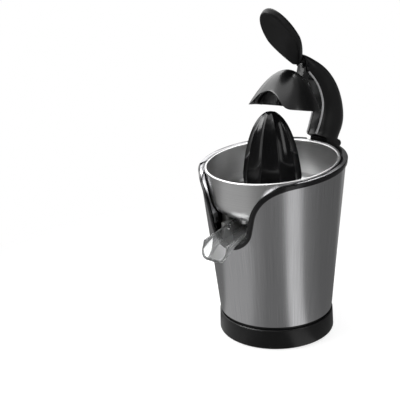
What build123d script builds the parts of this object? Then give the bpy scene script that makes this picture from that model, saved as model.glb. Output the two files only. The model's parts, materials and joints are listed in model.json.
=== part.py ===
"""Electric lever citrus press.

Millimetres. The origin is the middle of the base on the table, +Z is up, the spout points to -Y
and the lever arm stands at +Y. The lever arm is at rest part-way up.
"""
import os
from math import cos, hypot, pi, radians, sin, sqrt, tan

from build123d import *

# Clearances
fit_gap = 0.05          # between pieces that are seated in each other
run_gap = 0.05          # radial, a shaft in its hole
move_gap = 0.4          # between pieces that pass each other

# Base
foot_height = 2.0
foot_radius = 7.0
foot_inset = 15.9       # a foot's middle from the base's inner wall
foot_edge = 0.5
base_radius = 66.4
base_lift = 1.0
base_height = 23.5
base_draft = 0.8
base_wall = 4.5
base_edge = 1.2
groove_height = 3.5
groove_depth = 3.0
plate_thickness = 2.5
vent_rings = (12.0, 20.0, 28.0)
vent_counts = (8, 12, 16)
vent_length = 6.0
vent_width = 2.4
base_screw_head = 1.2
ledge_width = 7.0
ledge_height = 3.5
base_flange_width = 12.0
base_flange_height = 6.5
gland_height = 14.5
gland_radius = 5.5
gland_flange_radius = 8.0
gland_flange = 2.4
gland_length = 9.0
gland_bore = 3.6
gland_edge = 1.0

# Shell
shell_inset = 1.65      # the shell's bottom edge inside the base's side
shell_wall = 1.0
shell_flange_width = 7.7
rim_gap = 7.67          # the shell outside the bowl, at the lip plane
rim_slant = 4.58        # the lip plane falls towards the spout
rim_space = 16.0        # blank height above the lip plane, cut off again

# Front notch of the shell, with the trim's middle line as its outline
notch_rise = 0.3        # the middle of the notch's foot above the bowl's floor
notch_radius = 27.2
notch_side_angle = 76.0
notch_side = 16.0
notch_flare = 49.0
notch_end_angle = 8.0

# Edge trim and collars
trim_width = 4.6
trim_drop = 3.3         # the trim's middle line below the lip plane
trim_outside = 1.6
trim_inside = 1.2
collar_rise = 0.3
collar_overhang = 0.9
collar_bridge = 2.0     # the collar's width in front of the arm
liner_inset = 0.8       # the liner inside the shell's outer face
liner_thickness = 0.8
liner_gap = 1.5
liner_drop = 5.0        # the liner's foot below the bowl's floor
liner_depth = 7.0

# Juice bowl and strainer
bowl_radius = 73.4
bowl_wall = 1.0
bowl_depth = 52.5       # from the lip plane to the floor, on the axis
bowl_corner = 20.0
lip_width = 3.1
lip_height = 2.7
lip_inset = 1.5
lip_rise = 0.5
lip_round = 1.2
tube_radius = 9.0
tube_wall = 2.0
tube_height = 28.0
strainer_rise = 10.0    # above the bowl's floor
strainer_wall = 1.2
strainer_shoulder = 3.0
slot_width = 2.2
slot_length = 13.0
slot_insets = (25.6, 10.1)
slot_counts = (36, 48)
outlet_inset = 6.4
outlet_radius = 6.5
outlet_wall = 1.0
outlet_drop = 6.0

# Reamer
cone_radius = 33.0
cone_rise = 17.0        # above the bowl's floor
cone_skirt = 1.0
cone_height = 90.0      # from the skirt's top to the tip
cone_flutes = 10
flute_depth = 0.11      # as a part of the radius
cone_levels = (0.0, 0.17, 0.34, 0.5, 0.64, 0.76, 0.86, 0.93, 0.97, 0.985)
cone_hollow_radius = 26.0
cone_hollow_height = 6.0
cone_socket_gap = 3.0
hex_height = 16.0

# Drive shaft, thrust cup, switch
shaft_radius = 5.0
shaft_end = 1.0
press_travel = 3.0
collar_radius = 9.0
collar_height = 4.0
thrust_rise = 16.0      # above the deck
thrust_thickness = 2.5
thrust_radius = 15.0
thrust_wall = 1.8
thrust_skirt = 10.0
tab_reach = 26.0
tab_width = 8.0
spring_radius = 11.2
spring_wire = 1.4
spring_turns = 4
switch_x = 22.0
switch_size = (16.0, 10.0, 11.0)
switch_shift = 3.0      # the switch's middle from its plunger
switch_edge = 1.0
plunger_radius = 2.0
plunger_length = 8.2
plunger_edge = 0.6

# Chassis, gear plate and deck
post_inset = 6.6        # a post's middle inside the groove of the base
post_angles = (20, 160, 200, 340)
post_radius = 6.0
post_tip_radius = 4.0
chassis_ring = 3.0
gear_plate_thickness = 3.0
gear_plate_gap = 5.6
deck_height = 104.0
deck_thickness = 4.0
deck_gap = 0.6
boss_radius = 10.0
boss_height = 4.0
bush_wall = 3.0
support_height = 39.0
support_reach = 4.6     # the support's outside past the bowl's flat floor
support_wall = 3.0
support_opening = 21.0
screw_radius = 1.6
screw_head_radius = 3.2
screw_head = 2.2
screw_length = 14.0
screw_end = 1.0         # free depth under a screw's end

# Gears
fine_module = 0.7
coarse_module = 0.9
pinion_teeth = 12
wheel_teeth = 60
backlash = 0.3
gear_gap = 0.1
tooth_addendum = 0.85
tooth_dedendum = 1.2
tooth_slope = 0.33
wheel_width = 5.5
output_width = 7.0
axle_radius = 2.5
idler_hub = 3.0

# Motor
motor_shaft_radius = 2.5
motor_gap = 3.5         # between the motor's upper bracket and the gear plate
motor_clear = 2.0       # round the motor, in the chassis
stator_height = 24.0
stator_size = (58.0, 52.0)
stator_edge = 3.0
motor_screw_inset = 5.0
rotor_radius = 15.1
rotor_ring = 3.0
rotor_ring_inset = 2.0
air_gap = 0.4
pole_half = 9.0
window_width = 11.0
window_depth = 5.5
window_wall = 1.0
coil_gap = 0.5
coil_overhang = 7.0
coil_round = 5.0
motor_plate = 3.0
motor_vent = (11.6, 26.0)
motor_leg_radius = 4.5
motor_bush_wall = 2.5
motor_bush_length = 5.0
fan_radius = 22.0
fan_height = 10.0
fan_gap = 4.5           # between the fan and the motor's lower bracket
fan_blades = 8
fan_wall = 1.5

# Lever arm, hinge and palm rest
hinge_reach = 8.775     # the hinge's axis behind the shell
hinge_drop = 19.5       # the hinge's axis below the lip plane
hinge_pin_radius = 3.0
knuckle_radius = 10.0
knuckle_half = 12.4
washer_thickness = 0.4
washer_inset = 2.0
leg_edge = 1.5
ear_thickness = 4.5
ear_radius = 11.0
bracket_drop = 30.0     # the bracket's foot below the hinge's axis
bracket_web = 14.0
bracket_depth = 4.0     # the bracket's foot behind the hinge's axis
bracket_toe = 1.0
bracket_edge = 1.2
arm_slot_gap = 0.8
arm_slot_drop = 14.0    # the slot's foot below the hinge's axis
pin_head_radius = 5.0
pin_head = 1.8
pin_edge = 0.8
bracket_screw_x = 8.0
bracket_screw_rise = 7.0
bracket_screw_length = 10.0

# Stations of the arm from the palm rest to the foot: inner edge, outer edge, width, inner face.
# The points of the arm, the palm rest and the cup are Y and Z from the hinge's axis.
arm_stations = (
    ((-32.5, 121.5), (-35.6, 129.0), 14.0, 9.0),
    ((-30.5, 114.5), (-25.5, 126.2), 16.0, 11.0),
    ((-27.0, 108.7), (-14.5, 121.0), 18.5, 13.0),
    ((-14.4, 96.2), (4.0, 110.5), 20.5, 13.5),
    ((-6.5, 83.8), (22.0, 94.2), 22.5, 14.0),
    ((-1.8, 70.0), (37.0, 68.0), 24.0, 14.0),
    ((-3.0, 58.5), (41.2, 50.0), 24.5, 14.0),
    ((-8.5, 45.5), (38.0, 33.0), 25.4, 14.0),
    ((-14.8, 34.2), (27.5, 13.0), 26.0, 13.0),
)

# The arm's D-shaped section, as parts of its width and depth from the inner face to the back
arm_cheek = ((0.46, 0.12), (0.5, 0.35), (0.5, 0.55))
arm_back = ((0.5, 0.85), (0.3, 1.0), (0.0, 1.0))
leg_front = (1.9, 29.1)
leg_back = (24.0, 16.0)
leg_front_radius = 2.5
leg_back_radius = 4.0

palm_offset = (-42.0, 117.3)
palm_angle = 50.7
palm_front = 41.0       # from the widest place to the tip
palm_rear = 38.8        # from the widest place to the heel
palm_half_width = 20.8
palm_heel = 4.0
palm_taper = ((1.0, 0.3), (0.42, 0.86))
palm_thickness = 9.8
palm_face_edge = 2.6
palm_back_edge = 4.2
tang_offset = (-37.5, 122.5)
tang_radius = 2.0
tang_length = 9.0

# Press cup
cup_offset = (-54.5, 114.9)
cup_tilt = 12.0
cup_depth = 41.8
cup_mouth = 40.0
cup_wall = 2.6
cup_rib = 2.2
cup_rib_thickness = 2.0
cup_ribs = 8
arch_peak = 24.4
arch_side = 15.5
arch_side_depth = 32.0
arch_half = 28.9
arch_foot_slope = 0.13
pivot_offset = (-28.0, 116.0)
tongue_half = 5.0
tongue_radius = 3.8
tongue_foot = 6.0
tongue_lean = -5.0
tongue_drop = 22.0
tongue_sweep = ((-12.0, -18.0), (13.0, -18.0))
tongue_sweep_radius = 1.0
cup_pin_radius = 2.0
cup_pin_half = 8.4

# Spout
spout_half = 17.5
spout_wall = 2.2
spout_inset = 2.0       # the spout's pivot inside the support
spout_drop = 13.0       # the spout's pivot below the bowl's floor
spout_round = 9.0

# Points of the spout, Y and Z from its pivot
corner_offset = (-39.5, -2.7)
tip_offset = (-46.0, -21.0)
bend_offset = (-21.0, -8.4)
rear_floor_offset = (20.0, -5.5)
rear_top_offset = (20.0, 8.6)
trunnion_radius = 3.0
trunnion_length = 5.2
spout_ear_thickness = 4.0
spout_ear_gap = 0.8


# Heights from the base to the rim, and the radii that go with them
shell_bottom = base_height + groove_height
deck_top = deck_height + deck_thickness
thrust_height = deck_top + thrust_rise
bowl_floor = deck_top + support_height
strainer_height = bowl_floor + strainer_rise
cone_bottom = bowl_floor + cone_rise
tube_top = bowl_floor + tube_height
notch_middle = bowl_floor + notch_rise
rim_height = bowl_floor + bowl_depth
base_inside = base_radius - base_wall
groove_radius = base_radius - base_draft - groove_depth
post_circle = groove_radius - post_inset
shell_radius = base_radius - shell_inset
shell_slope = (bowl_radius + rim_gap - shell_radius) / (rim_height - shell_bottom)
bowl_flat = bowl_radius - bowl_corner
lip_inside = bowl_radius - lip_inset
outlet_y = outlet_inset - bowl_flat
support_radius = bowl_flat + support_reach


def shell_at(height):
    """Outer radius of the shell at a height."""
    return shell_radius + shell_slope * (height - shell_bottom)


post_places = [
    (post_circle * cos(radians(angle)), post_circle * sin(radians(angle))) for angle in post_angles
]
hinge_z = rim_height - hinge_drop
hinge_y = shell_at(hinge_z) + hinge_reach
arm_slot_bottom = hinge_z - arm_slot_drop


def from_hinge(offset):
    """Y and Z of a point that is given from the hinge's axis."""
    return (hinge_y + offset[0], hinge_z + offset[1])


slant = radians(rim_slant)
rim_up = (0, -sin(slant), cos(slant))
shell_top = rim_height + bowl_radius * tan(slant) + rim_space


def rim_plane(drop):
    """The lip plane, lowered along its own normal."""
    origin = Vector(0, 0, rim_height) - Vector(*rim_up) * drop
    return Plane(origin=origin, x_dir=(1, 0, 0), z_dir=rim_up)


def above_plane(drop):
    """All that lies above the lowered lip plane."""
    with BuildPart() as tool:
        with BuildSketch(rim_plane(drop)):
            Rectangle(6 * bowl_radius, 6 * bowl_radius)
        extrude(amount=4 * rim_space)
    return tool.part


def front_notch(widen):
    """Prism of the front notch, widened by an amount: round foot, sloping sides, flared shoulders."""
    bend = radians(notch_side_angle)
    flat = radians(notch_end_angle)
    half = (bend + flat) / 2
    foot = (0, notch_middle - notch_radius)
    middle = (notch_radius * sin(bend / 2), notch_middle - notch_radius * cos(bend / 2))
    knee = (notch_radius * sin(bend), notch_middle - notch_radius * cos(bend))
    hip = (knee[0] + notch_side * cos(bend), knee[1] + notch_side * sin(bend))
    centre = (hip[0] + notch_flare * sin(bend), hip[1] - notch_flare * cos(bend))
    crest = (centre[0] - notch_flare * sin(half), centre[1] + notch_flare * cos(half))
    shoulder = (centre[0] - notch_flare * sin(flat), centre[1] + notch_flare * cos(flat))
    ceiling = shell_top + rim_space
    with BuildPart() as tool:
        with BuildSketch(Plane.XZ):
            with BuildLine():
                ThreePointArc(foot, middle, knee)
                Line(knee, hip)
                ThreePointArc(hip, crest, shoulder)
                Polyline(shoulder, (shoulder[0], ceiling), (0, ceiling))
                mirror(about=Plane.YZ)
            make_face()
            if widen:
                offset(amount=widen, kind=Kind.ARC)
        extrude(amount=2 * bowl_radius)
    return tool.part


def above_rim(drop, widen):
    """All that lies above the lowered lip plane or in the widened front notch."""
    with BuildPart() as tool:
        add(above_plane(drop))
        add(front_notch(widen))
    return tool.part


def shell_band(outside, inside, bottom):
    """A band that follows the shell, from outside its outer face to inside its inner face."""
    with BuildPart() as band:
        with BuildSketch(Plane.XZ):
            with BuildLine():
                Polyline(
                    (shell_at(bottom) + outside, bottom),
                    (shell_at(shell_top) + outside, shell_top),
                    (shell_at(shell_top) - shell_wall - inside, shell_top),
                    (shell_at(bottom) - shell_wall - inside, bottom),
                    close=True,
                )
            make_face()
        revolve(axis=Axis.Z)
    return band.part


slot_half = knuckle_half + arm_slot_gap


def rear_slot(bottom, front):
    """Slot at the back through which the lever arm swings, from a front face outwards."""
    with BuildPart() as tool:
        with BuildSketch(Plane.XZ.offset(-front)):
            with Locations((0, (bottom + shell_top + rim_space) / 2)):
                Rectangle(2 * slot_half, shell_top + rim_space - bottom)
        extrude(amount=-2 * rim_space)
    return tool.part


# Base ring, plate, feet with a pad in the middle, screws and gland
with BuildPart() as base_ring:
    with BuildSketch(Plane.XZ) as ring_profile:
        with BuildLine():
            Polyline(
                (base_inside, base_lift),
                (base_radius, base_lift),
                (base_radius - base_draft, base_height),
                (groove_radius, base_height),
                (groove_radius, shell_bottom),
                (groove_radius - base_flange_width, shell_bottom),
                (groove_radius - base_flange_width, shell_bottom - base_flange_height),
                (base_inside, shell_bottom - base_flange_height),
                (base_inside, foot_height + plate_thickness + ledge_height),
                (base_inside - ledge_width, foot_height + plate_thickness + ledge_height),
                (base_inside - ledge_width, foot_height + plate_thickness),
                (base_inside, foot_height + plate_thickness),
                close=True,
            )
        make_face()
        outer_corners = ring_profile.vertices().sort_by(Axis.X)[-2:]
        fillet(outer_corners, base_edge)
    revolve(axis=Axis.Z)
    with Locations(Location((0, base_radius, gland_height), (90, 0, 0))):
        Cylinder(gland_radius + fit_gap, 3 * base_wall, mode=Mode.SUBTRACT)
    with Locations(*((x, y, shell_bottom) for x, y in post_places)):
        Cylinder(screw_radius + fit_gap, 4 * base_flange_height, mode=Mode.SUBTRACT)
    with PolarLocations(base_inside - ledge_width / 2, 4):
        with Locations((0, 0, foot_height + plate_thickness)):
            Cylinder(screw_radius + fit_gap, 4 * ledge_height, mode=Mode.SUBTRACT)

with BuildPart() as base_plate:
    with BuildSketch(Plane.XY.offset(foot_height)):
        Circle(base_inside - fit_gap)
        with PolarLocations(base_inside - ledge_width / 2, 4):
            Circle(screw_radius + fit_gap, mode=Mode.SUBTRACT)
        for ring_radius, count in zip(vent_rings, vent_counts):
            with PolarLocations(ring_radius, count):
                SlotOverall(vent_length, vent_width, mode=Mode.SUBTRACT)
    extrude(amount=plate_thickness)

with BuildPart() as rubber_feet:
    with BuildSketch():
        with PolarLocations(base_inside - foot_inset, 4, start_angle=45):
            Circle(foot_radius)
        Circle(foot_radius)
    extrude(amount=foot_height)
    chamfer(rubber_feet.faces().group_by(Axis.Z)[0].edges(), foot_edge)

with BuildPart() as base_screws:
    with PolarLocations(base_inside - ledge_width / 2, 4):
        with Locations((0, 0, foot_height)):
            Cylinder(
                screw_head_radius,
                base_screw_head,
                align=(Align.CENTER, Align.CENTER, Align.MAX),
            )
            Cylinder(
                screw_radius,
                plate_thickness + ledge_height,
                align=(Align.CENTER, Align.CENTER, Align.MIN),
            )

with BuildPart() as cord_gland:
    with BuildSketch(Plane.XZ.offset(-base_radius - fit_gap)):
        with Locations((0, gland_height)):
            Circle(gland_flange_radius)
    extrude(amount=-gland_flange)
    with BuildSketch(Plane.XZ.offset(-base_radius - fit_gap)):
        with Locations((0, gland_height)):
            Circle(gland_radius)
    extrude(amount=gland_length)
    fillet(cord_gland.faces().sort_by(Axis.Y)[-1].edges(), gland_edge)
    with Locations(Location((0, base_radius, gland_height), (90, 0, 0))):
        Cylinder(gland_bore, 4 * gland_length, mode=Mode.SUBTRACT)

# Outer shell with its inward bottom flange
bracket_bottom = hinge_z - bracket_drop
bracket_screw_z = bracket_bottom + bracket_screw_rise
shell_flange = shell_radius - shell_flange_width
with BuildPart() as outer_shell:
    with BuildSketch(Plane.XZ):
        with BuildLine():
            Polyline(
                (shell_flange, shell_bottom),
                (shell_at(shell_bottom), shell_bottom),
                (shell_at(shell_top), shell_top),
                (shell_at(shell_top) - shell_wall, shell_top),
                (shell_at(shell_bottom + shell_wall) - shell_wall, shell_bottom + shell_wall),
                (shell_flange, shell_bottom + shell_wall),
                close=True,
            )
        make_face()
    revolve(axis=Axis.Z)
    add(above_rim(trim_drop, 0), mode=Mode.SUBTRACT)
    add(rear_slot(arm_slot_bottom, bowl_radius + move_gap), mode=Mode.SUBTRACT)
    with Locations(*((x, y, shell_bottom) for x, y in post_places)):
        Cylinder(screw_radius + fit_gap, 4 * shell_wall, mode=Mode.SUBTRACT)
    for side in (-1, 1):
        screw_place = (side * bracket_screw_x, shell_at(bracket_screw_z), bracket_screw_z)
        with Locations(Location(screw_place, (90, 0, 0))):
            Cylinder(screw_radius + fit_gap, 2 * bracket_screw_length, mode=Mode.SUBTRACT)

# Trim that grips the shell's upper edge
trim_start = notch_middle - notch_radius - trim_width
with BuildPart() as shell_edge:
    add(shell_band(fit_gap, fit_gap, trim_start))
    add(above_rim(trim_drop - fit_gap, -fit_gap), mode=Mode.SUBTRACT)
with BuildPart() as edge_trim:
    add(shell_band(trim_outside, trim_inside, trim_start))
    add(above_rim(trim_drop + trim_width / 2, trim_width / 2), mode=Mode.INTERSECT)
    add(above_rim(trim_drop - trim_width / 2, -trim_width / 2), mode=Mode.SUBTRACT)
    add(shell_edge.part, mode=Mode.SUBTRACT)
    add(rear_slot(arm_slot_bottom, bowl_radius + move_gap), mode=Mode.SUBTRACT)

# Polished collar between the bowl's lip and the shell, split by the notch and behind the bowl
collar_bottom = trim_drop - trim_width / 2 - fit_gap
collar_inside = lip_inside + lip_width + move_gap
collar_start = rim_height - 2 * rim_space
with BuildPart() as collar_ring:
    with BuildSketch(Plane.XZ):
        with BuildLine():
            Polyline(
                (collar_inside, collar_start),
                (shell_at(collar_start) + collar_overhang, collar_start),
                (shell_at(shell_top) + collar_overhang, shell_top),
                (collar_inside, shell_top),
                close=True,
            )
        make_face()
    revolve(axis=Axis.Z)
    add(above_plane(collar_bottom), mode=Mode.INTERSECT)
    add(above_plane(-collar_rise), mode=Mode.SUBTRACT)
    add(front_notch(-trim_width / 2), mode=Mode.SUBTRACT)
    add(rear_slot(collar_start, collar_inside + collar_bridge), mode=Mode.SUBTRACT)

collars = {}
for side, name in ((-1, "collar_left"), (1, "collar_right")):
    with BuildPart() as collar:
        add(collar_ring.part)
        with Locations((side * (fit_gap - bowl_radius), 0, rim_height)):
            Box(2 * bowl_radius, 4 * bowl_radius, 4 * bowl_radius, mode=Mode.SUBTRACT)
    collars[name] = collar

# Polished liner on the two sides of the notch, outside the room that the bowl needs to lift out
corner_z = bowl_floor + bowl_corner
diagonal = sin(radians(45))
room_corner = bowl_corner + liner_gap
with BuildPart() as bowl_room:
    with BuildSketch(Plane.XZ):
        with BuildLine():
            Line((0, bowl_floor - liner_gap), (bowl_flat, bowl_floor - liner_gap))
            ThreePointArc(
                (bowl_flat, bowl_floor - liner_gap),
                (bowl_flat + room_corner * diagonal, corner_z - room_corner * diagonal),
                (bowl_radius + liner_gap, corner_z),
            )
            Polyline(
                (bowl_radius + liner_gap, corner_z),
                (collar_inside, corner_z),
                (collar_inside, shell_top + rim_space),
                (0, shell_top + rim_space),
                (0, bowl_floor - liner_gap),
            )
        make_face()
    revolve(axis=Axis.Z)
with BuildPart() as notch_liner:
    add(shell_band(-liner_inset, liner_depth, bowl_floor - liner_drop))
    add(front_notch(-trim_width / 2 - fit_gap), mode=Mode.INTERSECT)
    add(front_notch(-trim_width / 2 - fit_gap - liner_thickness), mode=Mode.SUBTRACT)
    add(above_plane(collar_bottom + fit_gap), mode=Mode.SUBTRACT)
    add(bowl_room.part, mode=Mode.SUBTRACT)

# Juice bowl with its rolled lip, centre tube and outlet
shoulder_radius = tube_radius + strainer_shoulder
with BuildPart() as juice_bowl:
    inner_corner = bowl_corner - bowl_wall
    with BuildSketch(Plane.XZ):
        with BuildLine():
            Line((tube_radius - tube_wall, bowl_floor), (bowl_flat, bowl_floor))
            ThreePointArc(
                (bowl_flat, bowl_floor),
                (bowl_flat + bowl_corner * diagonal, corner_z - bowl_corner * diagonal),
                (bowl_radius, corner_z),
            )
            Polyline(
                (bowl_radius, corner_z),
                (bowl_radius, shell_top),
                (bowl_radius - bowl_wall, shell_top),
                (bowl_radius - bowl_wall, corner_z),
            )
            ThreePointArc(
                (bowl_radius - bowl_wall, corner_z),
                (bowl_flat + inner_corner * diagonal, corner_z - inner_corner * diagonal),
                (bowl_flat, bowl_floor + bowl_wall),
            )
            Polyline(
                (bowl_flat, bowl_floor + bowl_wall),
                (shoulder_radius, bowl_floor + bowl_wall),
                (shoulder_radius, strainer_height),
                (tube_radius, strainer_height),
                (tube_radius, tube_top),
                (tube_radius - tube_wall, tube_top),
                (tube_radius - tube_wall, bowl_floor),
            )
        make_face()
    revolve(axis=Axis.Z)
    with BuildSketch(rim_plane(lip_height / 2)):
        Rectangle(4 * bowl_radius, 4 * bowl_radius)
    extrude(amount=4 * rim_space, mode=Mode.SUBTRACT)
    lip_plane = Plane(origin=(0, 0, rim_height), x_dir=(1, 0, 0), z_dir=(0, -cos(slant), -sin(slant)))
    with BuildSketch(lip_plane) as lip_profile:
        with Locations((lip_inside + lip_width / 2, lip_rise - lip_height / 2)):
            Rectangle(lip_width, lip_height)
        fillet(lip_profile.vertices().sort_by(Axis.Y)[-2:], lip_round)
    revolve(axis=Axis((0, 0, rim_height), rim_up))
    with BuildSketch(Plane.XY.offset(bowl_floor - outlet_drop)):
        with Locations((0, outlet_y)):
            Circle(outlet_radius)
    extrude(amount=outlet_drop + bowl_wall / 2)
    with Locations((0, outlet_y, bowl_floor)):
        Cylinder(outlet_radius - outlet_wall, 4 * outlet_drop, mode=Mode.SUBTRACT)

strainer_inner_gap = inner_corner**2 - (corner_z - strainer_height) ** 2
strainer_radius = bowl_flat + sqrt(strainer_inner_gap) - move_gap
with BuildPart() as strainer:
    with BuildSketch(Plane.XY.offset(strainer_height)):
        Circle(strainer_radius)
        Circle(tube_radius + fit_gap, mode=Mode.SUBTRACT)
        for inset, count in zip(slot_insets, slot_counts):
            with PolarLocations(strainer_radius - inset, count):
                SlotOverall(slot_length, slot_width, mode=Mode.SUBTRACT)
    extrude(amount=strainer_wall)

# Reamer: a loft through fluted sections, which shrink upwards as an ellipse does
cone_top = cone_bottom + cone_skirt
socket_floor = tube_top + press_travel + cone_socket_gap


def cone_section(level):
    """Section of the reamer at a part of its height: hollow arcs that meet in ridges."""
    crest = cone_radius * sqrt(1 - level**2)
    valley = crest * (1 - flute_depth)
    step = 2 * pi / cone_flutes
    with BuildSketch(Plane.XY.offset(cone_top + level * cone_height)) as section:
        with BuildLine():
            for flute in range(cone_flutes):
                start = flute * step
                middle = start + step / 2
                end = start + step
                ThreePointArc(
                    (crest * cos(start), crest * sin(start)),
                    (valley * cos(middle), valley * sin(middle)),
                    (crest * cos(end), crest * sin(end)),
                )
        make_face()
    return section.sketch.faces()[0]


cone_faces = [cone_section(level) for level in cone_levels]
with BuildPart() as reamer_cone:
    loft(sections=cone_faces)
    loft(sections=[cone_faces[-1], Vertex(0, 0, cone_top + cone_height)], ruled=True)
    extrude(cone_faces[0], amount=-cone_skirt)
    with Locations((0, 0, cone_bottom)):
        Cylinder(
            cone_hollow_radius,
            cone_hollow_height,
            align=(Align.CENTER, Align.CENTER, Align.MIN),
            mode=Mode.SUBTRACT,
        )
        Cylinder(
            tube_radius + cone_socket_gap,
            socket_floor - cone_bottom,
            align=(Align.CENTER, Align.CENTER, Align.MIN),
            mode=Mode.SUBTRACT,
        )
    with BuildSketch(Plane.XY.offset(socket_floor - fit_gap)):
        RegularPolygon(shaft_radius + fit_gap, 6)
    extrude(amount=hex_height + 2 * fit_gap, mode=Mode.SUBTRACT)

# Drive shaft, thrust cup, spring, switch
output_top = deck_height - gear_gap
output_bottom = deck_height - output_width - press_travel
shaft_bottom = output_bottom - shaft_end
with BuildPart() as drive_shaft:
    with BuildSketch(Plane.XY.offset(shaft_bottom)):
        Circle(shaft_radius)
    extrude(amount=socket_floor - shaft_bottom)
    with BuildSketch(Plane.XY.offset(socket_floor)):
        RegularPolygon(shaft_radius, 6)
    extrude(amount=hex_height)
    with BuildSketch(Plane.XY.offset(thrust_height + thrust_thickness + gear_gap)):
        Circle(collar_radius)
    extrude(amount=collar_height)

with BuildPart() as thrust_cup:
    with BuildSketch(Plane.XY.offset(thrust_height)):
        Circle(thrust_radius)
        with Locations((tab_reach / 2, 0)):
            Rectangle(tab_reach, tab_width)
        Circle(shaft_radius + run_gap, mode=Mode.SUBTRACT)
    extrude(amount=thrust_thickness)
    with BuildSketch(Plane.XY.offset(thrust_height)):
        Circle(thrust_radius)
        Circle(thrust_radius - thrust_wall, mode=Mode.SUBTRACT)
    extrude(amount=-thrust_skirt)

spring_height = thrust_height - deck_top - spring_wire - 2 * fit_gap
with BuildPart() as return_spring:
    with BuildLine(Plane.XY.offset(deck_top + spring_wire / 2 + fit_gap)) as spring_path:
        Helix(pitch=spring_height / spring_turns, height=spring_height, radius=spring_radius)
    with BuildSketch(spring_path.line ^ 0):
        Circle(spring_wire / 2)
    sweep(is_frenet=True)

switch_top = deck_top + switch_size[2]
plunger_top = thrust_height - gear_gap
plunger_bottom = plunger_top - plunger_length
with BuildPart() as micro_switch:
    with BuildSketch(Plane.XY.offset(deck_top)):
        with Locations((switch_x + switch_shift, 0)):
            RectangleRounded(switch_size[0], switch_size[1], switch_edge)
    extrude(amount=switch_size[2])
    with BuildSketch(Plane.XY.offset(switch_top)):
        with Locations((switch_x, 0)):
            Circle(plunger_radius + run_gap)
    extrude(amount=-(switch_top - plunger_bottom + press_travel + move_gap), mode=Mode.SUBTRACT)

with BuildPart() as switch_plunger:
    with BuildSketch(Plane.XY.offset(plunger_bottom)):
        with Locations((switch_x, 0)):
            Circle(plunger_radius)
    extrude(amount=plunger_length)
    fillet(switch_plunger.faces().sort_by(Axis.Z)[-1].edges(), plunger_edge)


# Gears
def gear_outline(teeth, module, tooth_angle, middle_y):
    """Corner points of a gear at X = 0, with the middle of one tooth at an angle."""
    pitch = module * teeth / 2
    thick = module * pi / 4 - backlash / 2
    tip = pitch + tooth_addendum * module
    root = pitch - tooth_dedendum * module
    points = []
    for tooth in range(teeth):
        turn = radians(tooth_angle) + tooth * 2 * pi / teeth
        for radius, sign in ((root, -1), (tip, -1), (tip, 1), (root, 1)):
            half = (thick - (radius - pitch) * tooth_slope) / radius
            flank = turn + sign * half
            points.append((radius * cos(flank), middle_y + radius * sin(flank)))
    return points


idler_y = coarse_module * (pinion_teeth + wheel_teeth) / 2
motor_y = idler_y - fine_module * (pinion_teeth + wheel_teeth) / 2
half_tooth = 180 / pinion_teeth
wheel_bottom = shaft_bottom - press_travel - move_gap - wheel_width
idler_bottom = wheel_bottom - idler_hub
gear_plate_height = idler_bottom - gear_gap - gear_plate_thickness
with BuildPart() as output_gear:
    with BuildSketch(Plane.XY.offset(output_bottom)):
        with BuildLine():
            Polyline(gear_outline(wheel_teeth, coarse_module, 90, 0), close=True)
        make_face()
        Circle(shaft_radius + fit_gap, mode=Mode.SUBTRACT)
    extrude(amount=output_width)
    with BuildSketch(Plane.XY.offset(output_bottom + output_width)):
        Circle(collar_radius)
        Circle(shaft_radius + fit_gap, mode=Mode.SUBTRACT)
    extrude(amount=output_top - output_bottom - output_width)

with BuildPart() as idler_gear:
    with BuildSketch(Plane.XY.offset(wheel_bottom)):
        with BuildLine():
            Polyline(gear_outline(wheel_teeth, fine_module, -90, idler_y), close=True)
        make_face()
    extrude(amount=wheel_width)
    with BuildSketch(Plane.XY.offset(wheel_bottom + wheel_width)):
        with BuildLine():
            Polyline(gear_outline(pinion_teeth, coarse_module, -90 + half_tooth, idler_y), close=True)
        make_face()
    extrude(amount=deck_height - move_gap - wheel_bottom - wheel_width)
    with BuildSketch(Plane.XY.offset(idler_bottom)):
        with Locations((0, idler_y)):
            Circle(2 * axle_radius)
    extrude(amount=wheel_bottom - idler_bottom)
    with Locations((0, idler_y, wheel_bottom)):
        Cylinder(axle_radius + run_gap, 2 * deck_height, mode=Mode.SUBTRACT)

with BuildPart() as idler_axle:
    with BuildSketch(Plane.XY.offset(gear_plate_height)):
        with Locations((0, idler_y)):
            Circle(axle_radius)
    extrude(amount=deck_top - gear_plate_height)

# Chassis posts, gear plate and gear deck
with BuildPart() as chassis:
    with BuildSketch(Plane.XY.offset(shell_bottom + shell_wall)):
        Circle(groove_radius)
        Circle(post_circle - post_radius, mode=Mode.SUBTRACT)
        with Locations((0, motor_y)):
            Rectangle(
                stator_size[0] + 2 * motor_clear,
                stator_size[1] + 2 * motor_clear,
                mode=Mode.SUBTRACT,
            )
    extrude(amount=chassis_ring)
    with BuildSketch(Plane.XY.offset(shell_bottom + shell_wall)):
        with Locations(*post_places):
            Circle(post_radius)
    extrude(amount=gear_plate_height - shell_bottom - shell_wall)
    with BuildSketch(Plane.XY.offset(gear_plate_height)):
        with Locations(*post_places):
            Circle(post_tip_radius)
    extrude(amount=deck_height - gear_plate_height)
    for screw_z in (deck_height, shell_bottom):
        with Locations(*((x, y, screw_z) for x, y in post_places)):
            Cylinder(screw_radius + fit_gap, 2 * screw_length, mode=Mode.SUBTRACT)

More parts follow.
